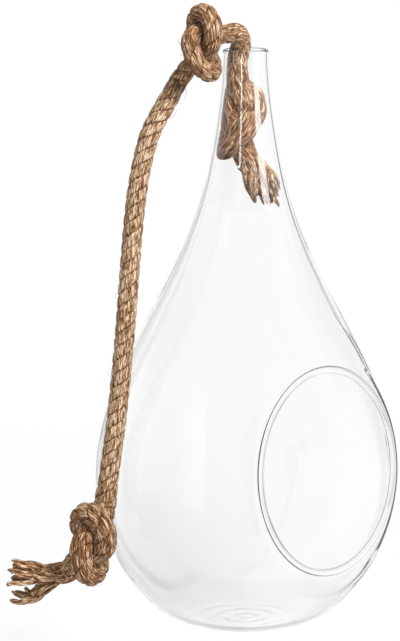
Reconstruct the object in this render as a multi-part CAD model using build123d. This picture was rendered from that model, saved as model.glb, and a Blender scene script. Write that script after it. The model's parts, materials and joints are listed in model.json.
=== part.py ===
from build123d import *
import math
import os

import numpy as np

# Hanging teardrop vessel of blown glass with a round side opening, and the knotted jute
# rope that runs through its neck. Millimetres, +Z up, origin on the table under the
# middle of the base. The side opening faces -Y.

# Glass: the teardrop is drawn as shares of its height and of its widest diameter, from the
# throat down to the turn of the heel
vessel_height = 300.0
belly_diameter = 156.6
teardrop_shares = [
    (0.8733, 0.1916), (0.7333, 0.3052), (0.5667, 0.5862),
    (0.4067, 0.8838), (0.2567, 1.0), (0.1333, 0.9029),
]
heel_share = (0.04, 0.6488)
rim_diameter = 23.4
foot_diameter = 44.0
wall = 1.6
base_thickness = 1.8

# Side opening: a flattened front with a round hole and a fire-polished bead as its lip
opening_diameter = 100.0
opening_height = 82.0
opening_tilt = 5.5
flat_distance = 57.5
flat_blend = 14.0
lip_thickness = 3.2

# Rope: three-strand jute, pulled tighter in its knots and squeezed inside the neck
rope_diameter = 10.0
knot_diameter = 9.4
squeezed_diameter = 7.0
strand_diameter = 4.4
strand_spread = 2.7
strand_angles = {"a": 45.0, "b": 165.0, "c": 285.0}
knot_gap = 1.0
neck_clearance = 0.5
lead_length = 6.0
strand_lead = 6.0
corner_count = 24
corner_lift = 0.24

# The rope leaves the neck in one upright plane and hangs in another, each at its own angle
# from +X, and the faces of its knots look along a third angle
neck_angle = 186.0
drape_angle = 166.0
knot_face_angle = 221.6

# Where the middle of each knot lies, the direction from its first end to its last, and how
# far it is rolled about that direction
stopper_middle = (-0.8, -0.9, -27.6)
stopper_direction = (6.9, -4.0, -45.3)
stopper_roll = 0.0
rim_middle = (-28.3, 5.1, -2.4)
rim_direction = (-25.4, 1.4, -35.0)
rim_roll = 285.0
end_middle = (-91.7, 27.4, -243.6)
end_direction = (-20.7, 17.3, -42.3)
end_roll = 260.0

# Rope routes in those planes: distance from the axis of the vessel, and height above the rim.
# All heights of the rope are measured from the rim, because it hangs there.
neck_route = [(4.4, -5.0), (4.3, 0.0), (6.4, 6.0), (11.2, 9.4), (15.5, 9.2)]
hanging_route = [
    (47.5, -20.0), (56.0, -32.5), (62.5, -51.0), (67.0, -72.0), (69.8, -96.0), (72.0, -120.0),
    (74.4, -144.0), (77.4, -170.0), (80.6, -192.0), (83.4, -208.5), (85.6, -221.0),
]

# Frayed ends: where each tail leaves its knot, its heading there, and its three strands
inner_tail_root = (2.6, -2.9, -50.3)
inner_tail_heading = (0.30, -0.34, -0.89)
inner_tail_routes = [
    [(7.6, -11.0, -63.5), (10.2, -13.0, -72.5)],
    [(9.0, -5.6, -66.0), (13.1, -8.7, -79.9)],
    [(1.6, -5.2, -65.5), (2.4, -7.2, -75.8)],
]
end_tail_root = (-103.8, 38.0, -263.3)
end_tail_heading = (-0.70, 0.64, -0.19)
end_tail_routes = [
    [(-112.5, 43.9, -257.6), (-120.7, 51.6, -258.4)],
    [(-116.0, 43.3, -262.1), (-122.4, 52.1, -265.5)],
    [(-108.8, 46.1, -273.5), (-113.9, 53.0, -279.3)],
]


def unit(vector):
    """A vector of length one along the given one."""
    vector = np.asarray(vector, float)
    return vector / np.linalg.norm(vector)


def compass(angle):
    """The level direction at an angle from +X."""
    return np.array([math.cos(math.radians(angle)), math.sin(math.radians(angle)), 0.0])


def from_rim(points):
    """Points of the rope, given from the middle of the rim, in the frame of the vessel."""
    return np.array(points) + np.array([0.0, 0.0, vessel_height])


def in_plane(route, angle):
    """A route of an upright plane through the axis as points in space."""
    outward = compass(angle)
    return from_rim([reach * outward + np.array([0.0, 0.0, height]) for reach, height in route])


# Glass profile

stations = [(rim_diameter / 2, vessel_height - wall / 2)]
for height_share, width_share in teardrop_shares + [heel_share]:
    stations.append((width_share * belly_diameter / 2, height_share * vessel_height))
heel_radius, heel_height = stations[-1]
heel_angle = 2 * math.atan2(heel_height, heel_radius - foot_diameter / 2)
heel_tangent = (-math.cos(heel_angle), -math.sin(heel_angle))
outer_side = Spline(*stations, tangents=[(0, -1), heel_tangent])


def inset(curve, depth, count):
    """Points beside a curve that runs down the outside, moved towards the axis by a depth."""
    points = []
    for step in range(count + 1):
        place = curve @ (step / count)
        tangent = curve % (step / count)
        points.append((place.X + depth * tangent.Y, place.Y - depth * tangent.X))
    return points


inner_stations = inset(outer_side, wall, 2 * len(stations))
inner_side = Spline(*inner_stations, tangents=[(0, -1), heel_tangent])
inner_heel = inner_stations[-1]
inner_heel_radius = (inner_heel[1] - base_thickness) / (1 - math.cos(heel_angle))
inner_floor_reach = inner_heel[0] - inner_heel_radius * math.sin(heel_angle)


def heel_arc(start, floor_reach, floor_height):
    """The arc that rounds a side into the level floor of the base."""
    return TangentArc((floor_reach, floor_height), start, tangent=(1, 0), tangent_from_first=True)


def turned(side, floor_reach, floor_height):
    """A solid of revolution under one side curve, closed by its level floor and its top."""
    top, bottom = side @ 0, side @ 1
    heel = heel_arc((bottom.X, bottom.Y), floor_reach, floor_height)
    closing = Polyline((floor_reach, floor_height), (0, floor_height), (0, top.Y), (top.X, top.Y))
    return revolve(make_face(Plane.XZ * Curve([side, heel, closing])), Axis.Z)


opening_axis = Vector(
    0, -math.cos(math.radians(opening_tilt)), math.sin(math.radians(opening_tilt))
)
opening_centre = Vector(0, 0, opening_height)


def window_plane(distance):
    """The plane of the flattened front, this far from the axis of the vessel."""
    return Plane(opening_centre + distance * opening_axis, z_dir=opening_axis)


def flattened(body, distance, blend):
    """A turned body pressed flat at its front, with the shoulder of the flat rounded."""
    plane = window_plane(distance)
    in_front = (Align.CENTER, Align.CENTER, Align.MIN)
    beyond = plane * Box(2 * belly_diameter, 2 * vessel_height, belly_diameter, align=in_front)
    pressed = body - beyond
    flat = min(pressed.faces(), key=lambda face: (face.center() - plane.origin).length)
    return fillet(flat.edges(), blend)


def glass_vessel():
    """The teardrop shell: outside less inside, a rounded rim, the opening and its lip."""
    outside = turned(outer_side, foot_diameter / 2, 0.0)
    inside = turned(inner_side, inner_floor_reach, base_thickness)
    shell = flattened(outside, flat_distance, flat_blend)
    shell -= flattened(inside, flat_distance - wall, flat_blend - wall)
    rim_middle = (rim_diameter - wall) / 2
    shell += Pos(0, 0, vessel_height - wall / 2) * Torus(rim_middle, wall / 2)
    lip_plane = window_plane(flat_distance - wall / 2)
    shell -= lip_plane * Cylinder(opening_diameter / 2 + lip_thickness / 2, 3 * lip_thickness)
    shell += lip_plane * Torus((opening_diameter + lip_thickness) / 2, lip_thickness / 2)
    return shell



# Rope

def even_points(points, count):
    """Points spaced evenly along a line through the given ones."""
    points = np.asarray(points, float)
    reach = np.append(0, np.cumsum(np.linalg.norm(np.diff(points, axis=0), axis=1)))
    places = np.linspace(0, reach[-1], count)
    return np.stack([np.interp(places, reach, points[:, axis]) for axis in range(3)], axis=1)


def loose_overhand():
    """A loose overhand knot in rope diameters: a trefoil with one of its three lobes cut open.

    The trefoil is x = sin t + 2 sin 2t, y = cos t - 2 cos 2t, with a height that falls and
    rises three times. Each cut end gets three more points that lead it away from the knot.
    """
    turn = np.radians(np.linspace(110, 370, 27))
    trefoil = np.stack([
        np.sin(turn) + 2 * np.sin(2 * turn),
        np.cos(turn) - 2 * np.cos(2 * turn),
        -0.9 * np.sin(3 * turn),
    ], axis=1)
    lead_in = [(0.1, 4.4, 0.9), (0.1, 3.2, 0.9), (0.1, 2.1, 0.75)]
    lead_out = [(2.0, -1.0, -0.75), (2.9, -1.6, -0.9), (3.9, -2.3, -0.9)]
    return np.vstack([lead_in, trefoil, lead_out]) / math.sqrt(3)


def laid_along(knot, middle, direction, roll):
    """A knot turned so that its ends lie along a direction, rolled, and set on its middle."""
    along = unit(knot[-1] - knot[0])
    across = unit(np.cross(along, (0, 0, 1)))
    lift = np.cross(along, across)
    new_along = unit(direction)
    flat_across = unit(np.cross(new_along, compass(knot_face_angle)))
    flat_lift = np.cross(new_along, flat_across)
    cosine, sine = math.cos(math.radians(roll)), math.sin(math.radians(roll))
    new_across = cosine * flat_across + sine * flat_lift
    new_lift = cosine * flat_lift - sine * flat_across
    offset = knot - (knot[0] + knot[-1]) / 2
    turned_offset = np.outer(offset @ along, new_along)
    turned_offset += np.outer(offset @ across, new_across) + np.outer(offset @ lift, new_lift)
    return from_rim(middle) + turned_offset


def pulled_tight(lead_in, loose, lead_out, spacing, bore=None, steps=600, count=84, stiff_points=8):
    """A loose knot drawn tight between its two leads, which stay where they are.

    Each point moves towards the middle of its neighbours, less so near the leads, where the
    rope resists bending more, and strands that come closer than the spacing push each other
    apart. A bore is a function that gives the largest distance from the axis at each height.
    """
    held = len(lead_in)
    between = even_points(np.vstack([lead_in[-1:], loose, lead_out[:1]]), count)[1:-1]
    points = np.vstack([lead_in, between, lead_out])
    from_end = np.minimum(np.arange(len(points)), np.arange(len(points))[::-1])[2:-2, None]
    stiff = np.exp(-(from_end / stiff_points) ** 2)
    for step in range(steps):
        slack = points[1:-3] + points[3:-1] - 2 * points[2:-2]
        bend = points[:-4] - 4 * points[1:-3] + 6 * points[2:-2] - 4 * points[3:-1] + points[4:]
        points[2:-2] += 0.15 * (1 - stiff) * slack - (0.02 + 0.04 * stiff) * bend
        for again in range(2):
            reach = np.append(0, np.cumsum(np.linalg.norm(np.diff(points, axis=0), axis=1)))
            offset = points[:, None] - points[None]
            distance = np.linalg.norm(offset, axis=2)
            close = (np.abs(reach[:, None] - reach[None]) > 1.9 * spacing) & (distance < spacing)
            push = np.where(close, (spacing - distance) / np.maximum(distance, 1e-6), 0)
            move = (push[..., None] * offset).sum(axis=1) / np.maximum(close.sum(axis=1), 1)[:, None]
            points += np.clip(0.5 * move, -0.2 * spacing, 0.2 * spacing)
            points[:held] = lead_in
            points[-held:] = lead_out
        if bore is not None:
            radius = np.hypot(points[:, 0], points[:, 1])
            points[:, :2] *= np.minimum(1, bore(points[:, 2]) / radius)[:, None]
        if step % 20 == 19 and step < steps - 60:
            points[held - 1:1 - held] = even_points(points[held - 1:1 - held], count)
    return points


def least_gap(points, diameter):
    """The least distance between the surfaces of two stretches of one rope."""
    reach = np.append(0, np.cumsum(np.linalg.norm(np.diff(points, axis=0), axis=1)))
    distance = np.linalg.norm(points[:, None] - points[None], axis=2)
    apart = np.abs(reach[:, None] - reach[None]) > 1.9 * diameter
    return distance[apart].min() - diameter


def tube(name, points, diameter):
    """A round tube along straight runs joined by arcs as large as the runs allow."""
    corners = [Vector(*point) for point in points]
    runs = [after - before for before, after in zip(corners, corners[1:])]
    radii = []
    for run, following in zip(runs, runs[1:]):
        half_turn = math.radians(run.get_angle(following)) / 2
        radii.append(0.45 * min(run.length, following.length) / math.tan(half_turn))
    path = FilletPolyline(*corners, radius=radii)
    solid = sweep(Plane(path @ 0, z_dir=path % 0) * Circle(diameter / 2), path)
    swept = math.pi / 4 * diameter**2 * path.length
    middles = np.array([tuple(path @ place) for place in np.linspace(0, 1, 240)])
    print(f"{name}: length {path.length:.1f}, radii {min(radii):.1f} to {max(radii):.1f},", end=" ")
    print(f"volume {solid.volume / swept:.4f} of section times length,", end=" ")
    print(f"least gap to itself {least_gap(middles, diameter):.2f}")
    return solid


def knot(name, start, heading_in, end, heading_out, place, diameter, bore=None):
    """An overhand knot as one tube, entered and left along the headings of its neighbours.

    The corners are lifted outwards a little, because the arcs of a tube cut inside them.
    """
    spacing = diameter + knot_gap
    leads = np.linspace(0, lead_length, 3)
    lead_in = start + np.outer(leads, heading_in)
    lead_out = end - np.outer(leads[::-1], heading_out)
    loose = laid_along(loose_overhand() * spacing, *place)
    tight = pulled_tight(lead_in, loose, lead_out, spacing, bore)
    corners = even_points(tight[len(leads) - 1:1 - len(leads)], corner_count)
    corners[1:-1] += corner_lift * (corners[1:-1] - (corners[:-2] + corners[2:]) / 2)
    return tube(name, np.vstack([start, corners, end]), diameter)


def frayed(name, root, heading, routes):
    """Three strands that leave the end of a rope side by side and spread apart."""
    side = unit(np.cross(heading, (0, 0, 1)))
    rise = np.cross(side, heading)
    strands = {}
    for letter, route in zip(strand_angles, routes):
        angle = math.radians(strand_angles[letter])
        start = root + strand_spread * (math.cos(angle) * side + math.sin(angle) * rise)
        points = np.vstack([start, start + strand_lead * heading, from_rim(route)])
        strands[f"{name}_strand_{letter}"] = tube(f"{name}_strand_{letter}", points, strand_diameter)
    return strands


def neck_bore(heights):
    """How far from the axis the middle of the squeezed rope can lie inside the neck."""
    wall_points = np.array(inset(outer_side, wall, 80))[::-1]
    radius = np.interp(heights, wall_points[:, 1], wall_points[:, 0])
    return radius - neck_clearance - squeezed_diameter / 2


# The object: glass, then the rope from its inner end to its free end

neck_points = in_plane(neck_route, neck_angle)
hanging_points = in_plane(hanging_route, drape_angle)
neck_start_heading = unit(neck_points[1] - neck_points[0])
neck_end_heading = unit(neck_points[-1] - neck_points[-2])
hanging_start_heading = unit(hanging_points[1] - hanging_points[0])
hanging_end_heading = unit(hanging_points[-1] - hanging_points[-2])

stopper_place = (stopper_middle, stopper_direction, stopper_roll)
rim_place = (rim_middle, rim_direction, rim_roll)
end_place = (end_middle, end_direction, end_roll)
inner_root = from_rim(inner_tail_root)
inner_heading = unit(inner_tail_heading)
end_root = from_rim(end_tail_root)
end_heading = unit(end_tail_heading)

nodes = {"glass_vessel": glass_vessel()}
nodes |= frayed("inner_tail", inner_root, inner_heading, inner_tail_routes)
nodes["stopper_knot"] = knot(
    "stopper_knot", neck_points[0], -neck_start_heading, inner_root, inner_heading,
    stopper_place, squeezed_diameter, neck_bore,
)
nodes["neck_run"] = tube("neck_run", neck_points, knot_diameter)
nodes["rim_knot"] = knot(
    "rim_knot", neck_points[-1], neck_end_heading, hanging_points[0], hanging_start_heading,
    rim_place, knot_diameter,
)
nodes["hanging_run"] = tube("hanging_run", hanging_points, rope_diameter)
nodes["end_knot"] = knot(
    "end_knot", hanging_points[-1], hanging_end_heading, end_root, end_heading,
    end_place, knot_diameter,
)
nodes |= frayed("end_tail", end_root, end_heading, end_tail_routes)

os.makedirs("parts", exist_ok=True)
for name, solid in nodes.items():
    export_step(solid, f"parts/{name}.step")
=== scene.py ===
import json
import math

import bpy
import numpy as np
from mathutils import Matrix

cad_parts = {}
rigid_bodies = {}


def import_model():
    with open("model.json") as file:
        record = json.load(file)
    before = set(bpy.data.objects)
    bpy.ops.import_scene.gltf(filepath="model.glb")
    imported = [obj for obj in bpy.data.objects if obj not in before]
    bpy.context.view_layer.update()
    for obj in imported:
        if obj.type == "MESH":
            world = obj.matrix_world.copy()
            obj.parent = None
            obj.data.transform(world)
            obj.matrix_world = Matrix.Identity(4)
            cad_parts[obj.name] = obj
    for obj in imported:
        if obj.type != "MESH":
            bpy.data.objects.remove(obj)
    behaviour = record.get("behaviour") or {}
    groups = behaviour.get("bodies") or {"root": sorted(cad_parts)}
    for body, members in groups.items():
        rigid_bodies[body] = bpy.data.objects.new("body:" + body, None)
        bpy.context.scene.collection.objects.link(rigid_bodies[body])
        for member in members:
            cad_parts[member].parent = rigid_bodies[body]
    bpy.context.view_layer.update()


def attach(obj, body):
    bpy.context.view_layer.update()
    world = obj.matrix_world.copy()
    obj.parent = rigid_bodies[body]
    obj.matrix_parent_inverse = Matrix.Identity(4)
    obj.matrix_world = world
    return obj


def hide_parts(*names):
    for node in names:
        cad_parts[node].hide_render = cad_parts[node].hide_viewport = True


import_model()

bl_info = {
    "name": "Hanging glass teardrop with a knotted rope",
    "version": (1, 0, 0),
    "blender": (4, 5, 0),
    "location": "View3D > Sidebar > Teardrop",
    "description": "Builds a clear blown-glass teardrop vessel and its knotted jute rope",
    "category": "Object",
}

MM = 0.001
UP = np.array([0.0, 0.0, 1.0])
WHITE = (1, 1, 1, 1)


def linear(code):
    """An sRGB hex colour as linear red, green, blue and alpha."""
    values = [int(code[i:i + 2], 16) / 255 for i in (0, 2, 4)]
    values = [v / 12.92 if v <= 0.04045 else ((v + 0.055) / 1.055) ** 2.4 for v in values]
    return *values, 1.0


def unit(vectors):
    """Vectors scaled to length one."""
    vectors = np.asarray(vectors, float)
    return vectors / np.linalg.norm(vectors, axis=-1, keepdims=True)


def compass(angle):
    """The level direction at an angle from +X, in degrees."""
    return np.array([math.cos(math.radians(angle)), math.sin(math.radians(angle)), 0.0])


def smooth_step(low, high, values):
    """Rises from 0 at low to 1 at high with level ends."""
    t = np.clip((np.asarray(values, float) - low) / (high - low), 0, 1)
    return t * t * (3 - 2 * t)


def eased(values, limit, share):
    """Values that near a limit and never pass it: they stay as they are up to the last share of
    the limit, and from there the distance to it falls off exponentially."""
    soft = share * limit
    over = np.maximum(values - (limit - soft), 0)
    return np.where(over > 0, limit - soft * np.exp(-over / soft), values)


def add_node(tree, kind, links=None, **settings):
    """A new shader node with its settings, its socket values and its incoming links. A node as a
    value stands for its first output."""
    node = tree.nodes.new(f"ShaderNode{kind}")
    for key, value in settings.items():
        setattr(node, key, value)
    for socket, value in (links or {}).items():
        if isinstance(value, bpy.types.Node):
            value = value.outputs[0]
        if isinstance(value, bpy.types.NodeSocket):
            tree.links.new(value, node.inputs[socket])
        else:
            node.inputs[socket].default_value = value
    return node


def emptied(block):
    """The node tree of a new material or world, without the nodes that Blender puts there."""
    block.use_nodes = True
    block.node_tree.nodes.clear()
    return block.node_tree


def new_mesh(name, points, faces, uv=None, painted_shading=None, material=None):
    """A smooth mesh object from points in millimetres and quads, with an optional UV per corner
    and an optional painted shading per point, which paints shade where it is low."""
    mesh = bpy.data.meshes.new(name)
    mesh.from_pydata(points * MM, [], faces, shade_flat=False)
    if uv is not None:
        layer = mesh.uv_layers.new(name="fibre")
        layer.data.foreach_set("uv", uv.astype(np.float32).ravel())
    if painted_shading is not None:
        attribute = mesh.attributes.new("painted_shading", "FLOAT", "POINT")
        attribute.data.foreach_set("value", painted_shading.astype(np.float32).ravel())
    mesh.validate()
    mesh.materials.append(material)
    piece = bpy.data.objects.new(name, mesh)
    bpy.context.scene.collection.objects.link(piece)
    return piece


def quad_corners(rows, columns):
    """The row and the column of the four corners of each quad in a grid of quads."""
    row, column = np.divmod(np.arange(rows * columns)[:, None], columns)
    return row + (0, 0, 1, 1), column + (0, 1, 1, 0)


# Sizes and colours that a user would change

def float_setting(name, description, default, **more):
    """A number in the sidebar."""
    return bpy.props.FloatProperty(name=name, description=description, default=default, **more)


def colour_setting(name, description, code):
    """A colour in the sidebar, from its sRGB hex code."""
    return bpy.props.FloatVectorProperty(
        name=name, description=description, subtype="COLOR", size=4, min=0, max=1,
        default=linear(code))


class GlassSettings(bpy.types.PropertyGroup):
    """Sizes of the glass teardrop, in millimetres."""
    height: float_setting("Height", "Height of the glass from the table to the rim, mm", 300.0)
    belly: float_setting("Belly", "Widest outer diameter, mm", 156.6)
    rim: float_setting("Rim", "Outer diameter of the rim, mm", 23.4)
    foot: float_setting("Foot", "Diameter of the flat foot, mm", 44.0)
    wall: float_setting("Wall", "Thickness of the glass in the neck, mm", 1.6)
    body: float_setting("Body wall", "Thickness of the glass in the body, mm", 2.0)
    base: float_setting("Base", "Thickness of the glass in the base, mm", 1.8)
    opening: float_setting("Opening", "Clear diameter of the side opening, mm", 100.0)
    opening_height: float_setting(
        "Opening height", "Height at which the opening's axis meets the vessel's, mm", 82.0)
    opening_tilt: float_setting("Opening tilt", "How far the opening looks upwards, degrees", 5.5)
    flat: float_setting("Flat front", "Distance of the flattened front from the axis, mm", 57.5)
    lip: float_setting("Lip", "Thickness of the fire-polished lip, mm", 3.8)
    colour: colour_setting("Glass", "Tint of the glass", "ffffff")


class RopeSettings(bpy.types.PropertyGroup):
    """Sizes and colours of the jute rope, in millimetres."""
    lay_length: float_setting("Lay length", "Length of one full turn of a strand, mm", 21.0)
    strand_reach: float_setting(
        "Strand reach", "Distance of a strand's middle from the rope's middle, mm", 2.6)
    strand_radius: float_setting("Strand radius", "Half the thickness of a strand, mm", 2.75)
    strand_width: float_setting("Strand width", "Half a strand's width round the rope, mm", 3.55)
    worn_radius: float_setting("Worn radius", "Radius that the strands' outside nears, mm", 5.45)
    pale: colour_setting("Pale fibre", "Colour of the palest fibres", "f6dec0")
    middle: colour_setting("Jute", "Colour of most fibres", "a87b51")
    # the dark colour is partly the jute's darkest fibres and partly the colour of the painted shade
    # in the grooves and knots
    dark: colour_setting("Dark fibre", "Colour of the darkest fibres", "4a260c")


class StageSettings(bpy.types.PropertyGroup):
    """The camera and the floor."""
    azimuth: float_setting("Azimuth", "Angle of the camera round the object, degrees", -48.4)
    elevation: float_setting("Elevation", "Angle of the camera above the table, degrees", 9.8)
    distance: float_setting("Distance", "Distance of the camera", 1.75, unit="LENGTH")
    lens: float_setting("Lens", "Focal length of the camera, mm", 189.3)
    floor: colour_setting("Floor", "Colour of the floor", "f4f4f4")


# Glass

# Stations of the side: height as a share of the glass's, and radius as a share of the belly's
STATIONS = [(0.8733, 0.1916), (0.7333, 0.3052), (0.5667, 0.5862), (0.4067, 0.8838), (0.2567, 1.0),
            (0.1333, 0.9029), (0.04, 0.6488)]


def teardrop_profile(glass, span_points=160, foot_points=200):
    """The outer side of the teardrop as radius and height, from the rim to the base centre.

    A cubic spline with chord lengths as its parameter and given end directions runs through
    the stations, then an arc turns into the flat foot, and a straight line ends at the axis.
    """
    knots = [(glass.rim / 2, glass.height - glass.wall / 2)]
    knots += [(width * glass.belly / 2, height * glass.height) for height, width in STATIONS]
    knots = np.array(knots)
    heel_r, heel_z = knots[-1]
    foot = glass.foot / 2
    turn = 2 * math.atan2(heel_z, heel_r - foot)
    step = np.linalg.norm(np.diff(knots, axis=0), axis=1)
    count = len(knots)
    system, known = np.eye(count), np.zeros((count, 2))
    known[0], known[-1] = (0, -1), (-math.cos(turn), -math.sin(turn))
    inner = np.arange(1, count - 1)
    system[inner, inner - 1] = 1 / step[:-1]
    system[inner, inner] = 2 / step[:-1] + 2 / step[1:]
    system[inner, inner + 1] = 1 / step[1:]
    slope = np.diff(knots, axis=0) / step[:, None] ** 2
    known[1:-1] = 3 * (slope[:-1] + slope[1:])
    speed = np.linalg.solve(system, known)
    t = np.linspace(0, 1, span_points, endpoint=False)[None, :, None]
    p0, p1 = knots[:-1, None], knots[1:, None]
    d0, d1 = speed[:-1, None] * step[:, None, None], speed[1:, None] * step[:, None, None]
    side = (2 * t**3 - 3 * t**2 + 1) * p0 + (t**3 - 2 * t**2 + t) * d0
    side = (side + (3 * t**2 - 2 * t**3) * p1 + (t**3 - t**2) * d1).reshape(-1, 2)
    radius = heel_z / (1 - math.cos(turn))
    angle = np.linspace(turn, 0, foot_points)
    arc = np.stack([foot + radius * np.sin(angle), radius * (1 - np.cos(angle))], axis=1)
    middle = 0.01
    floor = np.stack([np.geomspace(foot, middle, foot_points), np.zeros(foot_points)], axis=1)
    return np.vstack([side, arc, floor[1:]])


def glass_depth(glass, radius, height):
    """Thickness of the glass along its side, in millimetres.

    It goes from the base's to the body's over the lowest 4.5 % of the height, and from the
    body's to the neck's between 50 and 80 %. The base has waves 11 mm long and 0.05 mm high that
    die out between 30 and 46 mm from the axis, and a ridge 0.14 mm high at 39 mm. They show as
    the soft rings of pressed glass.
    """
    share = height / glass.height
    depth = glass.base + (glass.body - glass.base) * smooth_step(0, 0.045, share)
    depth = depth + (glass.wall - glass.body) * smooth_step(0.5, 0.8, share)
    waves = 0.05 * np.cos(2 * np.pi * radius / 11) * (1 - smooth_step(30, 46, radius))
    ridge = 0.14 * np.exp(-((radius - 39) / 3) ** 2)
    return depth + (waves + ridge) * (share < 0.1)


class GlassSkin:
    """The outside and the inside of the teardrop as functions of a point w of a plane.

    The plane is a map of the vessel that keeps angles: the base centre is w = 0, the direction
    of w is the angle round the axis, and the logarithm of its length grows with the distance
    along the side divided by the radius. The front is pressed flat along the opening's axis by
    a smooth minimum, and comes up to the plane of the lip near the opening.
    """
    blend = 5.0    # mm over which the flat front turns into the round body
    apron = 7.0    # mm round the lip in which the glass comes up to it

    def __init__(self, glass):
        self.glass = glass
        profile = teardrop_profile(glass)[::-1]
        radius, height = profile.T
        step = np.linalg.norm(np.diff(profile, axis=0), axis=1)
        mean = (radius[1:] + radius[:-1]) / 2
        self.log = math.log(radius[0]) + np.append(0, np.cumsum(step / mean))
        tangent = unit(np.gradient(profile, axis=0))
        normal = tangent[:, ::-1] * (1, -1)
        self.depth = glass_depth(glass, radius, height)
        self.outer, self.inner = profile, profile - self.depth[:, None] * normal
        tilt = math.radians(glass.opening_tilt)
        self.axis = np.array([0.0, -math.cos(tilt), math.sin(tilt)])
        self.centre = np.array([0.0, 0.0, glass.opening_height])

    def parts(self, points):
        """Distance along the opening's axis, and the offset across it."""
        offset = points - self.centre
        along = offset @ self.axis
        return along, offset - along[..., None] * self.axis

    def outside(self, w):
        """Points of the outside of the glass for values of w."""
        glass = self.glass
        log = np.log(np.abs(w))
        radius = np.interp(log, self.log, self.outer[:, 0])
        height = np.interp(log, self.log, self.outer[:, 1])
        angle = np.angle(w)
        points = np.stack([radius * np.cos(angle), radius * np.sin(angle), height], axis=-1)
        along, across = self.parts(points)
        share = np.clip(0.5 + 0.5 * (glass.flat - along) / self.blend, 0, 1)
        pressed = glass.flat + (along - glass.flat) * share - self.blend * share * (1 - share)
        reach = np.linalg.norm(across, axis=-1)
        lip = glass.opening / 2 + glass.lip
        pull = (1 - smooth_step(lip, lip + self.apron, reach)) * (along > 0)
        pressed = pressed + (glass.flat - pressed) * pull
        return points + (pressed - along)[..., None] * self.axis

    def point(self, w, inside):
        """Points of one side of the glass for values of w. The inside lies below the outside by
        the depth of the glass, square to the surface, so that the wall has parallel sides."""
        points = self.outside(w)
        if not inside:
            return points
        step = 0.01
        along = self.outside(w * (1 + step)) - self.outside(w * (1 - step))
        around = self.outside(w * np.exp(1j * step)) - self.outside(w * np.exp(-1j * step))
        depth = np.interp(np.log(np.abs(w)), self.log, self.depth)
        return points - depth[..., None] * unit(np.cross(around, along))

    def rows(self, ring, hole, inside, near=104, far=46):
        """Rows of points from the edge of the opening to the rim, for each direction of ring.

        Halving finds the edge. The rows then circle the hole as far as the turn, with close
        steps, and move over to circle the axis on the way to the rim.
        """
        glass = self.glass
        edge = glass.opening / 2 + glass.lip / 2 + math.sqrt(glass.lip**2 - glass.body**2) / 2
        least, turn, halvings = 20.0, math.log(2500.0), 40
        low, high = np.full(len(ring), least), np.full(len(ring), 2 * abs(hole))
        for halving in range(halvings):
            middle = (low + high) / 2
            across = self.parts(self.point(hole + middle * ring, inside))[1]
            reach = np.linalg.norm(across, axis=-1)
            low, high = np.where(reach < edge, middle, low), np.where(reach < edge, high, middle)
        start, end = np.log(high), self.log[-1]
        share = np.linspace(0, 1, near)[:, None]
        inner = start * (1 - share) + turn * share
        outer = np.broadcast_to(np.linspace(turn, end, far + 1)[1:, None], (far, len(ring)))
        log = np.vstack([inner, outer])
        middle = hole * (1 - smooth_step(math.log(1.5 * abs(hole)), end - 1, log))
        w = middle + np.exp(log) * ring
        length = np.clip(np.log(np.abs(w)), self.log[0], end)
        length[-1] = end
        return self.point(np.exp(length) * w / np.abs(w), inside)


def glass_points(glass, columns=288, rim_steps=10, lip_steps=24):
    """All points of the closed skin: outside, rim, inside and lip, as one grid.

    Its columns run round the opening and its rows from the opening's edge over the outside to
    the rim, over the rounded rim, back down the inside, and round the bead of the lip.
    """
    skin = GlassSkin(glass)
    ring = np.exp(2j * np.pi * np.arange(columns) / columns)
    height = glass.opening_height + glass.flat * skin.axis[2]
    hole = -1j * math.exp(np.interp(height, skin.outer[:, 1], skin.log))
    outside, inside = (skin.rows(ring, hole, side) for side in (False, True))
    bend = np.linspace(0, np.pi, rim_steps)[1:-1, None, None]
    rim_half = (outside[-1] - inside[-1]) / 2
    rim_radius = np.linalg.norm(rim_half, axis=-1)[:, None]
    rim = (outside[-1] + inside[-1]) / 2 + np.cos(bend) * rim_half + np.sin(bend) * rim_radius * UP
    along_out, across_out = skin.parts(outside[0])
    along_in, across_in = skin.parts(inside[0])
    share = np.linspace(0, 1, lip_steps)[1:-1, None]
    start = math.asin(glass.body / glass.lip)
    angle = 2 * np.pi - start + (2 * start - 2 * np.pi) * share
    towards = unit(across_in * (1 - share[..., None]) + across_out * share[..., None])
    bead = glass.lip / 2
    reach = glass.opening / 2 + bead + bead * np.cos(angle)
    along = (along_out + along_in) / 2 + bead * np.sin(angle)
    lip = skin.centre + along[..., None] * skin.axis + reach[..., None] * towards
    grid = np.concatenate([outside, rim, inside[::-1], lip])
    row, column = quad_corners(len(grid), columns)
    return grid.reshape(-1, 3), row % len(grid) * columns + column % columns


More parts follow.
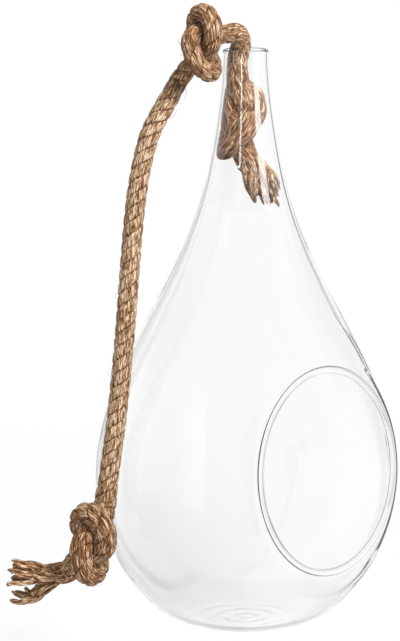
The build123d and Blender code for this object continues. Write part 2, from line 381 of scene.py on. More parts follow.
def clear_glass(colour):
    """Clear soda-lime glass, blown and fire-polished: no grain, only faint slow waves in the
    surface that bend what is seen through it."""
    material = bpy.data.materials.new("clear_blown_soda_lime_glass")
    tree = emptied(material)
    place = add_node(tree, "TexCoord")
    # slow waves about 30 mm long
    waves = add_node(tree, "TexNoise", {
        "Vector": place.outputs["Object"], "Scale": 1 / 0.030, "Detail": 1.0})
    # rings about 9 mm apart that end 6 mm up, where the base was pressed while soft
    rings = add_node(tree, "TexWave", {
        "Vector": place.outputs["Object"], "Scale": 2 * math.pi / 20 / 0.009, "Distortion": 1.5,
        "Detail": 1.0, "Detail Scale": 0.5}, wave_type="RINGS", rings_direction="Z")
    height = add_node(tree, "SeparateXYZ", {"Vector": place.outputs["Object"]})
    low = add_node(tree, "MapRange", {
        "Value": height.outputs["Z"], "From Min": 0.002, "From Max": 0.006, "To Min": 0.6,
        "To Max": 0.0})
    pressed = add_node(tree, "Math", {0: rings.outputs["Fac"], 1: low, 2: waves},
                       operation="MULTIPLY_ADD")
    bump = add_node(tree, "Bump", {"Height": pressed, "Strength": 0.05, "Distance": 0.003})
    shader = add_node(tree, "BsdfPrincipled", {
        "Base Color": colour, "Roughness": 0.0, "IOR": 1.5, "Transmission Weight": 1.0,
        "Normal": bump})
    add_node(tree, "OutputMaterial", {"Surface": shader})
    return material


class TEARDROP_OT_glass(bpy.types.Operator):
    """Build the closed skin of the blown-glass teardrop"""
    bl_idname = "teardrop.glass"
    bl_label = "Glass teardrop"

    def execute(self, context):
        glass = context.scene.teardrop_glass
        material = clear_glass(glass.colour)
        piece = new_mesh("blown_glass_teardrop", *glass_points(glass), material=material)
        piece.visible_shadow = False
        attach(piece, "vessel")
        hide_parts("glass_vessel")
        return {"FINISHED"}


# Rope. Its route is repeated from part.py. Heights are measured from the rim, in millimetres.

RIM_HEIGHT = 300.0
NECK_ANGLE, DRAPE_ANGLE, KNOT_FACE_ANGLE = 186.0, 166.0, 221.6
# distance from the axis and height of the two runs, each in its own upright plane
NECK_ROUTE = [(4.4, -5.0), (4.3, 0.0), (6.4, 6.0), (11.2, 9.4), (15.5, 9.2)]
HANGING_ROUTE = [
    (47.5, -20.0), (56.0, -32.5), (62.5, -51.0), (67.0, -72.0), (69.8, -96.0), (72.0, -120.0),
    (74.4, -144.0), (77.4, -170.0), (80.6, -192.0), (83.4, -208.5), (85.6, -221.0),
]
# where each tail leaves its knot, which way, and the rest of the route of each strand
INNER_ROOT, INNER_HEADING = (2.6, -2.9, -50.3), (0.30, -0.34, -0.89)
INNER_ROUTES = [
    [(7.6, -11.0, -63.5), (10.2, -13.0, -72.5)],
    [(9.0, -5.6, -66.0), (13.1, -8.7, -79.9)],
    [(1.6, -5.2, -65.5), (2.4, -7.2, -75.8)],
]
END_ROOT, END_HEADING = (-103.8, 38.0, -263.3), (-0.70, 0.64, -0.19)
END_ROUTES = [
    [(-112.5, 43.9, -257.6), (-120.7, 51.6, -258.4)],
    [(-116.0, 43.3, -262.1), (-122.4, 52.1, -265.5)],
    [(-108.8, 46.1, -273.5), (-113.9, 53.0, -279.3)],
]
STRAND_ANGLES = (45.0, 165.0, 285.0)
LEAD, STRAND_LEAD, STRAND_SPREAD = 6.0, 6.0, 2.7
KNOT_SPACING, SQUEEZED_SPACING = 10.4, 8.0
# middle, direction from end to end, and roll of each knot
STOPPER_PLACE = ((-0.8, -0.9, -27.6), (6.9, -4.0, -45.3), 0.0)
RIM_PLACE = ((-28.3, 5.1, -2.4), (-25.4, 1.4, -35.0), 285.0)
END_PLACE = ((-91.7, 27.4, -243.6), (-20.7, 17.3, -42.3), 260.0)

LINE_STEP = 0.5    # mm between the points of a middle line
IN_NECK = ("stopper_knot", "neck_run")
# thickness, width of a strand and a factor on the painted shading, each against the hanging run:
# below 1 it paints shade on the knots and the rope in the neck
LOOKS = {
    "stopper_knot": (1.25, 1.22, 0.73), "neck_run": (1.02, 1.15, 0.76),
    "rim_knot": (0.94, 1.04, 0.76), "hanging_run": (1.0, 1.0, 1.0), "end_knot": (1.14, 1.04, 0.74),
}


def from_rim(points):
    """Points given from the middle of the rim, in the frame of the vessel."""
    return np.array(points, float) + RIM_HEIGHT * UP


def in_plane(route, angle):
    """A route of distances from the axis and heights, in an upright plane at an angle."""
    route = np.array(route)
    return from_rim(route[:, :1] * compass(angle) + route[:, 1:] * UP)


def distances(points):
    """The distance of each point from the first one along a line."""
    return np.append(0, np.cumsum(np.linalg.norm(np.diff(points, axis=0), axis=1)))


def even_points(points, count):
    """Points spaced evenly along a line through the given ones."""
    reach = distances(points)
    places = np.linspace(0, reach[-1], count)
    return np.stack([np.interp(places, reach, points[:, axis]) for axis in range(3)], axis=1)


def loose_overhand():
    """A loose overhand knot in rope diameters: the trefoil x = sin t + 2 sin 2t,
    y = cos t - 2 cos 2t, with a height that falls and rises three times, cut open at one lobe."""
    turn = np.radians(np.linspace(110, 370, 27))
    trefoil = np.stack([np.sin(turn) + 2 * np.sin(2 * turn), np.cos(turn) - 2 * np.cos(2 * turn),
                        -0.9 * np.sin(3 * turn)], axis=1)
    lead_in = [(0.1, 4.4, 0.9), (0.1, 3.2, 0.9), (0.1, 2.1, 0.75)]
    lead_out = [(2.0, -1.0, -0.75), (2.9, -1.6, -0.9), (3.9, -2.3, -0.9)]
    return np.vstack([lead_in, trefoil, lead_out]) / math.sqrt(3)


def laid_along(knot, middle, direction, roll):
    """A knot turned so that its ends lie along a direction, rolled, and set on its middle."""
    along = unit(knot[-1] - knot[0])
    across = unit(np.cross(along, UP))
    lift = np.cross(along, across)
    new_along = unit(direction)
    flat_across = unit(np.cross(new_along, compass(KNOT_FACE_ANGLE)))
    flat_lift = np.cross(new_along, flat_across)
    cosine, sine = math.cos(math.radians(roll)), math.sin(math.radians(roll))
    offset = knot - (knot[0] + knot[-1]) / 2
    turned = np.outer(offset @ along, new_along)
    turned += np.outer(offset @ across, cosine * flat_across + sine * flat_lift)
    turned += np.outer(offset @ lift, cosine * flat_lift - sine * flat_across)
    return from_rim(middle) + turned


def pulled_tight(lead_in, loose, lead_out, spacing, bore, steps=600, count=84, stiff_points=8):
    """A loose knot drawn tight between two leads that stay where they are.

    Each point moves towards the middle of its neighbours, less so near the leads, where the
    rope resists bending more, and strands closer than the spacing push each other apart. A
    bore gives the largest distance from the axis at each height.
    """
    pull, resistance, more_at_leads = 0.15, 0.02, 0.04
    same_strand, largest_push = 1.9 * spacing, 0.2 * spacing
    even_every, left_alone = 20, 60
    held = len(lead_in)
    between = even_points(np.vstack([lead_in[-1:], loose, lead_out[:1]]), count)[1:-1]
    points = np.vstack([lead_in, between, lead_out])
    from_end = np.minimum(np.arange(len(points)), np.arange(len(points))[::-1])[2:-2, None]
    stiff = np.exp(-(from_end / stiff_points) ** 2)
    for step in range(steps):
        slack = points[1:-3] + points[3:-1] - 2 * points[2:-2]
        bend = points[:-4] - 4 * points[1:-3] + 6 * points[2:-2] - 4 * points[3:-1] + points[4:]
        points[2:-2] += pull * (1 - stiff) * slack - (resistance + more_at_leads * stiff) * bend
        for again in range(2):
            reach = distances(points)
            offset = points[:, None] - points[None]
            distance = np.linalg.norm(offset, axis=2)
            close = (np.abs(reach[:, None] - reach[None]) > same_strand) & (distance < spacing)
            push = np.where(close, (spacing - distance) / np.maximum(distance, 1e-6), 0)
            move = (push[..., None] * offset).sum(axis=1)
            move = 0.5 * move / np.maximum(close.sum(axis=1), 1)[:, None]
            points += np.clip(move, -largest_push, largest_push)
            points[:held] = lead_in
            points[-held:] = lead_out
        if bore is not None:
            radius = np.hypot(points[:, 0], points[:, 1])
            points[:, :2] *= np.minimum(1, bore(points[:, 2]) / radius)[:, None]
        if step % even_every == even_every - 1 and step < steps - left_alone:
            points[held - 1:1 - held] = even_points(points[held - 1:1 - held], count)
    return points


def knot_line(start, heading_in, end, heading_out, place, spacing, bore=None):
    """The middle line of a tight knot between two ends."""
    leads = np.linspace(0, LEAD, 3)
    lead_in = start + np.outer(leads, unit(heading_in))
    lead_out = end - np.outer(leads[::-1], unit(heading_out))
    loose = laid_along(loose_overhand() * spacing, *place)
    return pulled_tight(lead_in, loose, lead_out, spacing, bore)


def on_spline(points):
    """Points read at even steps from a NURBS spline that has the given points as its control
    points."""
    curve = bpy.data.curves.new("route", "CURVE")
    curve.dimensions = "3D"
    spline = curve.splines.new("NURBS")
    spline.points.add(len(points) - 1)
    spline.points.foreach_set("co", np.insert(points, 3, 1.0, axis=1).ravel())
    spline.use_endpoint_u = True
    spline.order_u = 3
    spline.resolution_u = 24
    holder = bpy.data.objects.new("route", curve)
    mesh = bpy.data.meshes.new_from_object(holder)
    found = np.zeros((len(mesh.vertices), 3))
    mesh.vertices.foreach_get("co", found.ravel())
    bpy.data.batch_remove((mesh, holder, curve))
    return even_points(found, max(int(distances(found)[-1] / LINE_STEP), 8))


def carried_frames(points):
    """Tangents and two cross directions along a line, turned as little as possible."""
    tangents = unit(np.gradient(points, axis=0))
    normals = np.zeros_like(points)
    normal = unit(np.cross(tangents[0], unit((0.3, 0.5, 0.8))))
    for index, tangent in enumerate(tangents):
        normal = unit(normal - (normal @ tangent) * tangent)
        normals[index] = normal
    return tangents, normals, np.cross(tangents, normals)


def neck_bore(glass):
    """The inside radius of the upper half of the glass as a function of height."""
    inner = GlassSkin(glass).inner
    radii, heights = inner[inner[:, 1] > 0.5 * glass.height].T
    return lambda z: np.interp(z, heights, radii)


def rope_lines(glass):
    """The middle line of each length of rope, from the end inside the neck to the free end."""
    neck, hanging = in_plane(NECK_ROUTE, NECK_ANGLE), in_plane(HANGING_ROUTE, DRAPE_ANGLE)
    bore, half_rope = neck_bore(glass), 4.0
    stopper = knot_line(
        neck[0], neck[0] - neck[1], from_rim(INNER_ROOT), INNER_HEADING, STOPPER_PLACE,
        SQUEEZED_SPACING, lambda z: bore(z) - half_rope)
    rim = knot_line(
        neck[-1], neck[-1] - neck[-2], hanging[0], hanging[1] - hanging[0], RIM_PLACE, KNOT_SPACING)
    end = knot_line(
        hanging[-1], hanging[-1] - hanging[-2], from_rim(END_ROOT), END_HEADING, END_PLACE,
        KNOT_SPACING)
    routes = {"stopper_knot": stopper[::-1], "neck_run": neck, "rim_knot": rim,
              "hanging_run": hanging, "end_knot": end}
    return {name: on_spline(route) for name, route in routes.items()}


def settled(points, lean):
    """Rope points inside the neck as they settle: the rope leans against one side of the glass
    by up to 2.6 mm, below the first 14 mm the knot is drawn 1.2 times as long, and what lies on
    the leaning side sags further, by 0.7 of its distance past 2 mm."""
    depth = RIM_HEIGHT - points[:, 2]
    sag = 0.7 * np.maximum(points @ lean - 2, 0) * smooth_step(16, 36, depth)
    points = points + 2.6 * smooth_step(-3, 8, depth)[:, None] * lean
    points[:, 2] -= 0.2 * np.maximum(depth - 14, 0) + sag
    return points


def hung_lines(glass, right):
    """The middle lines as the rope hangs in the photograph. In the neck it settles on the left.
    The knot at the rim lies 2 mm further to the right than in the CAD model: the run over the rim
    leads there, and the hanging run comes back within its first 30 mm."""
    lines = rope_lines(glass)
    for name in IN_NECK:
        lines[name] = settled(lines[name], -right)
    nudge, way_back = 2.0 * right, 30.0
    shares = {"neck_run": np.linspace(0, 1, len(lines["neck_run"])),
              "rim_knot": np.ones(len(lines["rim_knot"])),
              "hanging_run": 1 - np.arange(len(lines["hanging_run"])) * LINE_STEP / way_back}
    for name, share in shares.items():
        lines[name] = lines[name] + np.outer(smooth_step(0, 1, share), nudge)
    return lines


def strand_lines(root, heading, routes):
    """The middle line of each strand of a frayed tail."""
    root, heading = from_rim(root), unit(heading)
    side = unit(np.cross(heading, UP))
    rise = np.cross(side, heading)
    lines = []
    for angle, route in zip(np.radians(STRAND_ANGLES), routes):
        start = root + STRAND_SPREAD * (math.cos(angle) * side + math.sin(angle) * rise)
        lines.append(on_spline(np.vstack([start, start + STRAND_LEAD * heading, from_rim(route)])))
    return lines


def tail_lines(lines, right):
    """The strands of both tails. The inner ones start where the stopper knot has settled. The last
    one at the free end first dips by up to 2.5 mm and ends 5 mm higher and 3 mm further left."""
    moved = lines["stopper_knot"][0] - from_rim(INNER_ROOT)
    inner = [line + np.outer(np.linspace(1, 0, len(line)), moved)
             for line in strand_lines(INNER_ROOT, INNER_HEADING, INNER_ROUTES)]
    outer = strand_lines(END_ROOT, END_HEADING, END_ROUTES)
    share = np.linspace(0, 1, len(outer[2]))
    dip, hook = 2.5 * np.sin(np.pi * share), 5 * UP - 3 * right
    outer[2] = outer[2] + np.outer(share**2, hook) - np.outer(dip, UP)
    return inner, outer


def smoothed(values, reach=12):
    """Columns of values, each averaged over its neighbours within a reach."""
    width = 2 * reach + 1
    padded = np.pad(values, ((reach, reach), (0, 0)), mode="edge")
    even = np.full(width, 1 / width)
    return np.stack([np.convolve(column, even, "valid") for column in padded.T], axis=1)


def laid_strands(points, frames, start, rope, size, width, shade, sides=26):
    """Three strands laid round a line: each is an ellipse whose middle circles the line once in
    a lay length. The ellipse is longer round the rope than across it, as a slanted strand is
    when cut straight through, and the outside is worn flat to a round rope. The thickness
    wanders by 3 % over 20 mm and 2 % over 8 mm, and seven coarse and eight fine yarns ridge it.
    The painted shading falls from 1 on the outside to 0 in the grooves, painted shade in the
    creases, and a shade factor lowers it as painted shade in the knots and the neck. The fibres'
    own twist undoes the lay, so they run along the rope: U is the way round the rope and V the way
    along it."""
    normals, binormals = frames[1:]
    length = start + distances(points)
    seam = np.linspace(0, 2 * np.pi, sides + 1)
    around = seam[:-1]
    place = np.arctan2(-rope.strand_width * np.sin(seam),
                       rope.strand_reach - rope.strand_radius * np.cos(seam))
    row, column = quad_corners(len(points) - 1, sides)
    worn, wear, groove, strand_apart = rope.worn_radius, 0.14, 0.70, 40
    grids, faces, uvs, painted_shadings = [], [], [], []
    for strand in range(3):
        turn = 2 * np.pi * (length / rope.lay_length + strand / 3)
        wander = 1 + 0.03 * np.sin(length * 0.31 + 2.1 * strand)
        wander = wander + 0.02 * np.sin(length * 0.83 + strand)
        angle = turn[:, None] + around[None]
        yarn = wander[:, None] * (0.98 + 0.05 * np.abs(np.sin(3.5 * angle + 1.7 * strand)))
        yarn = yarn + 0.015 * np.sin(8 * angle + 0.9 * length[:, None] + strand)
        outward = rope.strand_reach - rope.strand_radius * np.cos(around)[None] * yarn
        across = -rope.strand_width * width[:, None] * np.sin(around)[None] * yarn
        reach = np.hypot(outward, across)
        limited = eased(reach, worn, wear)
        # painted shade: darker deep in the grooves between strands, and darker where the shade
        # factor is low
        painted_shading = shade[:, None] * smooth_step(groove * worn, (1 - wear) * worn, limited)
        scale = (size[:, None] * limited / reach)[..., None]
        cosine, sine = np.cos(turn)[:, None], np.sin(turn)[:, None]
        out, side = cosine * normals + sine * binormals, cosine * binormals - sine * normals
        grid = outward[..., None] * out[:, None] + across[..., None] * side[:, None]
        grids.append((points[:, None] + scale * grid).reshape(-1, 3))
        fibre = (place[column] + turn[row]) * worn + strand_apart * strand
        uvs.append(np.stack([fibre, length[row]], axis=-1))
        faces.append((row + strand * len(points)) * sides + column % sides)
        painted_shadings.append(painted_shading)
    return *map(np.vstack, (grids, faces, uvs, painted_shadings)), length[-1]


def kept_inside(points, bore, gap=0.35):
    """Points pulled towards the axis where they would come nearer to the glass than a gap."""
    radius = np.hypot(points[:, 0], points[:, 1])
    soft = eased(radius, bore(points[:, 2]) - gap, 0.2)
    points = points.copy()
    points[:, :2] *= (soft / np.maximum(radius, 1e-6))[:, None]
    return points


def frayed_tail(lines, seed, spread, reach_start, yarns, thickness, limit, sides=8):
    """Loose yarns of a frayed end: each follows its strand's line at an offset that grows
    towards the tip, wavers a little, and thins to a ragged end. A limit keeps them in the neck."""
    random = np.random.default_rng(seed)
    around = np.linspace(0, 2 * np.pi, sides, endpoint=False)
    girth, yarn_apart = 5.0, 13
    grids, faces, uvs, painted_shadings, base = [], [], [], [], 0
    for line in lines:
        tangents, normals, binormals = carried_frames(line)
        share = np.linspace(0, 1, len(line))
        row, column = quad_corners(len(line) - 1, sides)
        for yarn in range(yarns):
            angle = 2.4 * yarn + random.uniform(-0.3, 0.3)
            depth = math.sqrt(yarn / (yarns - 1))
            reach = reach_start * depth * (1 + spread * share**1.4 * random.uniform(0.5, 1.2))
            turn = angle + 2.2 * share
            waver = np.sin(share * random.uniform(3, 7) + random.uniform(0, 6))
            waver = 2.4 * spread * share * waver
            middle = line + (reach * np.cos(turn) + waver)[:, None] * normals
            middle = middle + (reach * np.sin(turn) - waver)[:, None] * binormals
            middle = middle + (share**2 * random.uniform(-5.0, 2.5))[:, None] * tangents
            thick = thickness * random.uniform(0.8, 1.1) * (1 - 0.2 * share**4)
            thick[-4:] *= (0.96, 0.86, 0.66, 0.2)
            ridge = 1 + 0.15 * np.sin(3 * around[None] + 14 * share[:, None] + yarn)
            ridge = thick[:, None] * ridge
            grid = middle[:, None] + (ridge * np.cos(around))[..., None] * normals[:, None]
            grid = grid + (ridge * np.sin(around))[..., None] * binormals[:, None]
            fibre = column * (girth / sides) + yarn_apart * len(grids)
            uvs.append(np.stack([fibre, row * LINE_STEP], axis=-1))
            faces.append((row + base) * sides + column % sides)
            base += len(line)
            grids.append(grid.reshape(-1, 3))
            # painted shade: yarns nearer the middle of a strand get a lower painted shading, so
            # they are darker
            painted_shadings.append(np.full((len(line), sides), 0.5 + 0.5 * depth))
    points, faces, uvs, painted_shadings = map(np.vstack, (grids, faces, uvs, painted_shadings))
    return points if limit is None else kept_inside(points, limit), faces, uvs, painted_shadings


def stray_fibres(points, frames, count, seed, rows=9, sides=5):
    """Loose fibres that stand off the rope: each leaves the surface, bows outwards by 1 to 3 mm
    and runs on along the rope, as a thin tube."""
    random = np.random.default_rng(seed)
    tangents, normals, binormals = frames
    from_ends, root_radius, thickness = 20, 4.4, 0.13
    station = random.integers(from_ends, len(points) - from_ends, count)
    angle, rise = random.uniform(0, 2 * np.pi, count), random.uniform(0.8, 3.0, count)
    run, swing = random.uniform(-8, 8, count), random.uniform(-2.5, 2.5, count)
    share = np.linspace(0, 1, rows)
    out = np.cos(angle)[:, None] * normals[station] + np.sin(angle)[:, None] * binormals[station]
    side = np.cross(tangents[station], out)
    height = root_radius + rise[:, None] * np.sin(2.4 * share[None])
    middle = points[station][:, None] + height[..., None] * out[:, None]
    middle = middle + (run[:, None] * share)[..., None] * tangents[station][:, None]
    middle = middle + (swing[:, None] * share**2)[..., None] * side[:, None]
    around = np.linspace(0, 2 * np.pi, sides, endpoint=False)[None, None, :, None]
    thick = thickness * (1 - 0.7 * share)[None, :, None, None]
    lift = np.cross(unit(np.gradient(middle, axis=1)), side[:, None])[:, :, None]
    ring = np.cos(around) * side[:, None, None] + np.sin(around) * lift
    grid = (middle[:, :, None] + thick * ring).reshape(-1, 3)
    row, column = quad_corners(rows - 1, sides)
    first = rows * np.arange(count)[:, None, None]
    faces = ((row + first) * sides + column % sides).reshape(-1, 4)
    # a painted shading of 0.9 paints a slight shade on the loose fibres
    return grid, faces, grid[faces][..., [0, 2]], np.full(len(grid), 0.9)


def jute(rope):
    """Natural jute: dull brown bast fibres spun into yarns. Long thin streaks run along the rope,
    pale and dark fibres alternate, and loose fibres make the surface rough. Painted shade darkens
    the grooves, the knots, the rope in the neck and the inner yarns of the tails."""
    material = bpy.data.materials.new("natural_spun_jute")
    tree = emptied(material)
    place = add_node(tree, "UVMap", uv_map="fibre")
    # fibres drawn 0.5 mm apart and 4 mm long, coarser than real ones so that they show, and yarns
    # about 1.6 mm wide that keep their colour for some 10 mm
    scales = ((0.5, 4.0, {"Roughness": 0.7, "Distortion": 0.6}), (1.6, 10.0, {}))
    fine, broad = (
        add_node(tree, "TexNoise", {
            "Vector": add_node(tree, "Mapping", {
                "Vector": place, "Scale": (1 / across, 1 / along, 1.0)}),
            "Scale": 1.0, "Detail": 3.0, **more})
        for across, along, more in scales)
    mixed = add_node(tree, "Mix", {"Factor": 0.3, "A": fine, "B": broad})
    painted_shading = add_node(tree, "Attribute", attribute_name="painted_shading")
    # painted shade: a low painted shading moves the ramp by up to 0.14 towards the dark colour
    groove = add_node(tree, "MapRange", {
        "Value": painted_shading.outputs["Fac"], "To Min": -0.14, "To Max": 0.0})
    shade = add_node(tree, "Math", {0: mixed, 1: groove}, operation="ADD")
    ramp = add_node(tree, "ValToRGB", {"Fac": shade})
    darkest, palest = ramp.color_ramp.elements
    darkest.position, darkest.color = 0.4, rope.dark
    palest.position, palest.color = 0.565, rope.pale
    ramp.color_ramp.elements.new(0.5).color = rope.middle
    bump = add_node(tree, "Bump", {"Height": fine, "Strength": 0.9, "Distance": 0.001})
    shader = add_node(tree, "BsdfPrincipled", {
        "Base Color": ramp, "Roughness": 0.85, "Specular IOR Level": 0.25, "Sheen Weight": 0.05,
        "Normal": bump})
    add_node(tree, "OutputMaterial", {"Surface": shader})
    return material


class TEARDROP_OT_rope(bpy.types.Operator):
    """Build the knotted three-strand jute rope with its frayed ends"""
    bl_idname = "teardrop.rope"
    bl_label = "Jute rope"

    def execute(self, context):
        glass, rope = context.scene.teardrop_glass, context.scene.teardrop_rope
        right = compass(context.scene.teardrop_stage.azimuth)
        material = jute(rope)
        bore = neck_bore(glass)
        lines = hung_lines(glass, right)
        inner_strands, end_strands = tail_lines(lines, right)
        whole = np.vstack(list(lines.values()))
        frames = carried_frames(whole)
        looks = smoothed(np.vstack([np.full((len(line), 3), LOOKS[name])
                                    for name, line in lines.items()]))
        pieces, first, reached = {}, 0, 0.0
        for name, line in lines.items():
            here = slice(first, first + len(line))
            first += len(line)
            points, faces, uv, painted_shading, reached = laid_strands(
                line, [values[here] for values in frames], reached, rope, *looks[here].T)
            if name in IN_NECK:
                inside = points[:, 2] < RIM_HEIGHT + 1
                points[inside] = kept_inside(points[inside], bore)
            pieces[name] = new_mesh(f"jute_{name}", points, faces, uv, painted_shading, material)
            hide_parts(name)
        # strands, seed, spread, reach at the root, yarns to a strand, their thickness, and limit
        tails = {"inner_tail": (inner_strands, 11, 0.25, 3.7, 26, 1.15, bore),
                 "end_tail": (end_strands, 23, 0.5, 2.6, 9, 1.5, None)}
        for name, tail in tails.items():
            pieces[name] = new_mesh(f"jute_{name}", *frayed_tail(*tail), material)
            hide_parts(*[f"{name}_strand_{letter}" for letter in "abc"])
        begin = sum(len(lines[name]) for name in IN_NECK)
        loose = [values[begin:] for values in frames]
        pieces["stray_fibres"] = new_mesh(
            "jute_stray_fibres", *stray_fibres(whole[begin:], loose, count=90, seed=5), material)
        for piece in pieces.values():
            piece.visible_glossy = False
            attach(piece, "rope")
        hanging = pieces.pop("hanging_run")
        return {"FINISHED"}


# Stage

PHOTO_HEIGHT = 641
FRAME_SHIFT = (-45.5, 17.53)    # pixels between the camera's axis and the photograph's middle
CAMERA_AIM, LAMP_AIM = 0.15, 0.16    # heights in metres
FLOOR_REACH = 4000.0
# place to the right, towards the camera and up, and size, in metres, and power in watts
LAMPS = {
    "key": ((0.6, 0.7, 0.95), 0.5, 17.0),
    "fill": ((-1.0, 0.6, 0.8), 0.9, 3.0),
    "top": ((0.0, -0.2, 1.2), 0.7, 4.0),
}
# tilt in degrees and height at the axis; of the near and the far end the angle from the camera,
# the width in degrees and the distance from the axis; and strength
SHEETS = {
    "thin_strip": (25, 150, (-18, 6, 236), (-18, 6, 463), 12),
    "broad_strip": (34, 200, (46, 9, 40), (51, 24, 137), 14),
    "dark_flag_right": (34, 199, (13, 46, 40), (13, 46, 300), 0),
    "dark_flag_left": (34, 199, (-54, 60, 40), (-54, 60, 300), 0),
}


def dimmed(tree, *dips):
    """The product of factors, each from a value, its places and a low. A factor falls smoothly
    from 1 to low between the first two places. Where there are two more, it comes back to 1
    between them."""
    total = None
    for value, places, low in dips:
        falls = [(*places[:2], low)] + [(*places[:1:-1], 0.0)] * (len(places) > 2)
        ends = [add_node(tree, "MapRange", {
            "Value": value, "From Min": start, "From Max": end, "To Min": 1.0, "To Max": least},
            interpolation_type="SMOOTHSTEP") for start, end, least in falls]
        factor = ends[0]
        if len(ends) > 1:
            factor = add_node(tree, "Math", dict(enumerate(ends)), operation="MAXIMUM")
        if total is not None:
            factor = add_node(tree, "Math", {0: total, 1: factor}, operation="MULTIPLY")
        total = factor
    return total


def studio_world():
    """A white backdrop for the camera, and a plain soft grey for the light on the object.

    Rays that pass through the glass see white too, apart from four things. Narrow dark bands
    behind the object, far to the right, to the left, above and below, draw the glass's edges.
    The backdrop is slightly greyer on the left and low down, and greyer still where both meet.
    Rays that the glass has reflected on their way see a darker room in front on the left, which
    keeps mirror images of the rope from showing. Reflections see white, that same room, and a
    soft window in it.
    """
    stage = bpy.context.scene.teardrop_stage
    world = bpy.data.worlds.new("studio")
    bpy.context.scene.world = world
    tree = emptied(world)
    ray = add_node(tree, "LightPath")
    way = add_node(tree, "TexCoord").outputs["Generated"]
    to_right, to_back, to_top = (
        add_node(tree, "VectorMath", {0: way, 1: tuple(aim)},
                 operation="DOT_PRODUCT").outputs["Value"]
        for aim in (compass(stage.azimuth), compass(stage.azimuth + 90), UP))
    edges = dimmed(
        tree, (to_right, (0.43, 0.52, 0.58, 0.64), 0.04),
        (to_right, (-0.3, -0.46, -0.6, -0.68), 0.55), (to_top, (0.35, 0.85), 0.45),
        (to_top, (-0.45, -0.62, -0.72, -0.8), 0.6))
    behind = dimmed(tree, (to_back, (0.25, -0.1), 0.0))
    low_left = dimmed(tree, (to_right, (-0.045, 0.03), 0.0), (to_top, (-0.25, -0.18), 0.0))
    mirror_room, room = (
        add_node(tree, "Mix", {
            "Factor": dimmed(tree, (to_right, (-0.2, 0.2), 0.0), (to_back, places, 0.0)),
            "A": 1.0, "B": 0.5})
        for places in ((0.3, 0.5), (-0.3, 0.1)))
    # the mix clamps its factor, so any number of reflections counts as one
    reflected = ray.outputs["Glossy Depth"]
    through = dimmed(tree, (to_right, (0.03, -0.05), 0.98), (to_top, (-0.2, -0.27), 0.96))
    for share, low in ((low_left, 0.9), (behind, edges), (reflected, room)):
        factor = add_node(tree, "Mix", {"Factor": share, "A": 1.0, "B": low})
        through = add_node(tree, "Math", {0: through, 1: factor}, operation="MULTIPLY")
    window = dimmed(
        tree, (to_right, (-0.53, -0.50), 0.0), (to_right, (-0.6, -0.85), 0.0),
        (to_top, (0.4, 0.7), 0.0), (to_top, (-0.1, -0.4), 0.0), (to_back, (-0.5, -0.2), 0.0))
    mirror = add_node(tree, "Math", {0: window, 1: mirror_room}, operation="ADD")
    strength = 0.2
    for kind, level in (("Glossy", mirror), ("Transmission", through), ("Camera", 1.0)):
        strength = add_node(tree, "Mix", {
            "Factor": ray.outputs[f"Is {kind} Ray"], "A": strength, "B": level})
    back = add_node(tree, "Background", {"Color": WHITE, "Strength": strength})
    add_node(tree, "OutputWorld", {"Surface": back})


def floor_material(colour):
    """A matt white sheet that the camera sees as white, with a faint shadow near the object."""
    material = bpy.data.materials.new("matt_white_paper")
    tree = emptied(material)
    ray = add_node(tree, "LightPath")
    place = add_node(tree, "TexCoord")
    far = add_node(tree, "VectorMath", {0: place.outputs["Object"]}, operation="LENGTH")
    white = add_node(tree, "MapRange", {
        "Value": far.outputs["Value"], "From Min": 0.1, "From Max": 0.6, "To Min": 0.9,
        "To Max": 1.0})
    share = add_node(tree, "Math", {0: ray.outputs["Is Camera Ray"], 1: white},
                     operation="MULTIPLY")
    matt = add_node(tree, "BsdfDiffuse", {"Color": colour})
    glow = add_node(tree, "Emission", {"Color": WHITE, "Strength": 1.0})
    both = add_node(tree, "MixShader", {0: share, 1: matt, 2: glow})
    add_node(tree, "OutputMaterial", {"Surface": both})
    return material


def tilted_sheet(name, azimuth, tilt, foot, near, far, strength):
    """A bright strip or, with no strength, a dark flag that only reflections show, and only its
    upper face. It is a wedge whose plane rises by a tilt from a height at the axis, so that only
    the neck sees that face."""
    material = bpy.data.materials.new("softbox_cloth")
    tree = emptied(material)
    face = add_node(tree, "NewGeometry")
    glow = add_node(tree, "Emission", {"Color": WHITE, "Strength": strength})
    clear = add_node(tree, "BsdfTransparent")
    shown = add_node(tree, "MixShader", {0: face.outputs["Backfacing"], 1: glow, 2: clear})
    add_node(tree, "OutputMaterial", {"Surface": shown})
    rise = math.tan(math.radians(tilt))
    corners = [reach * compass(azimuth - 90 + angle + side * width / 2) + (foot + rise * reach) * UP
               for (angle, width, reach), side in ((near, -1), (far, -1), (far, 1), (near, 1))]
    sheet = new_mesh(name, np.array(corners), [(0, 1, 2, 3)], material=material)
    for way in ("camera", "diffuse", "transmission", "shadow", "volume_scatter"):
        setattr(sheet, f"visible_{way}", False)


def placed(name, data, spot, right, away):
    """A camera or lamp at a spot, with its right-hand side and the direction it looks away from."""
    holder = bpy.data.objects.new(name, data)
    bpy.context.scene.collection.objects.link(holder)
    place = np.eye(4)
    place[:3] = np.stack([right, np.cross(away, right), away, spot], axis=1)
    holder.matrix_world = Matrix(place.tolist())
    return holder


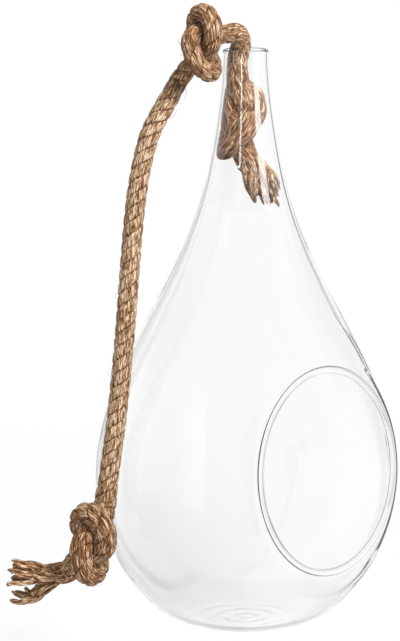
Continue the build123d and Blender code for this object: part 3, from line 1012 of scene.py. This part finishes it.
class TEARDROP_OT_stage(bpy.types.Operator):
    """Set up the floor, the light and the camera"""
    bl_idname = "teardrop.stage"
    bl_label = "Stage"

    def execute(self, context):
        scene = context.scene
        stage = scene.teardrop_stage
        scene.view_settings.view_transform = "Standard"
        studio_world()
        corners = np.array([(-1, -1, 0), (1, -1, 0), (1, 1, 0), (-1, 1, 0)]) * FLOOR_REACH
        paper = floor_material(stage.floor)
        floor = new_mesh("floor", corners, [(0, 1, 2, 3)], material=paper)
        floor.visible_glossy = False
        floor.visible_transmission = False
        right, toward = compass(stage.azimuth), compass(stage.azimuth - 90)
        tilt = math.radians(stage.elevation)
        away = math.cos(tilt) * toward + math.sin(tilt) * UP
        lens = bpy.data.cameras.new("camera")
        lens.lens = stage.lens
        lens.shift_x, lens.shift_y = (pixels / PHOTO_HEIGHT for pixels in FRAME_SHIFT)
        lens.clip_end = 50
        scene.camera = placed("camera", lens, CAMERA_AIM * UP + stage.distance * away, right, away)
        for name, sheet in SHEETS.items():
            tilted_sheet(name, stage.azimuth, *sheet)
        for name, (place, size, power) in LAMPS.items():
            lamp = bpy.data.lights.new(name, "AREA")
            lamp.size, lamp.energy = size, power
            spot = np.array(place) @ np.stack([right, toward, UP])
            aim = unit(spot - LAMP_AIM * UP)
            holder = placed(name, lamp, spot, unit(np.cross(UP, aim)), aim)
            for way in ("camera", "glossy", "transmission"):
                setattr(holder, f"visible_{way}", False)
        return {"FINISHED"}


class TEARDROP_PT_panel(bpy.types.Panel):
    """Buttons that build each piece"""
    bl_idname = "TEARDROP_PT_panel"
    bl_label = "Glass teardrop"
    bl_space_type = "VIEW_3D"
    bl_region_type = "UI"
    bl_category = "Teardrop"

    def draw(self, context):
        for operator in OPERATORS:
            self.layout.operator(operator.bl_idname)
        for name in GROUPS:
            settings = getattr(context.scene, name)
            for setting in settings.__annotations__:
                self.layout.prop(settings, setting)


GROUPS = {"teardrop_glass": GlassSettings, "teardrop_rope": RopeSettings,
          "teardrop_stage": StageSettings}
OPERATORS = (TEARDROP_OT_stage, TEARDROP_OT_glass, TEARDROP_OT_rope)


def register():
    for cls in (*GROUPS.values(), *OPERATORS, TEARDROP_PT_panel):
        bpy.utils.register_class(cls)
    for name, group in GROUPS.items():
        setattr(bpy.types.Scene, name, bpy.props.PointerProperty(type=group))


def unregister():
    for name in GROUPS:
        delattr(bpy.types.Scene, name)
    for cls in (TEARDROP_PT_panel, *OPERATORS, *GROUPS.values()):
        bpy.utils.unregister_class(cls)


def main():
    register()
    bpy.ops.teardrop.stage()
    bpy.ops.teardrop.glass()
    bpy.ops.teardrop.rope()


if __name__ == "__main__":
    main()
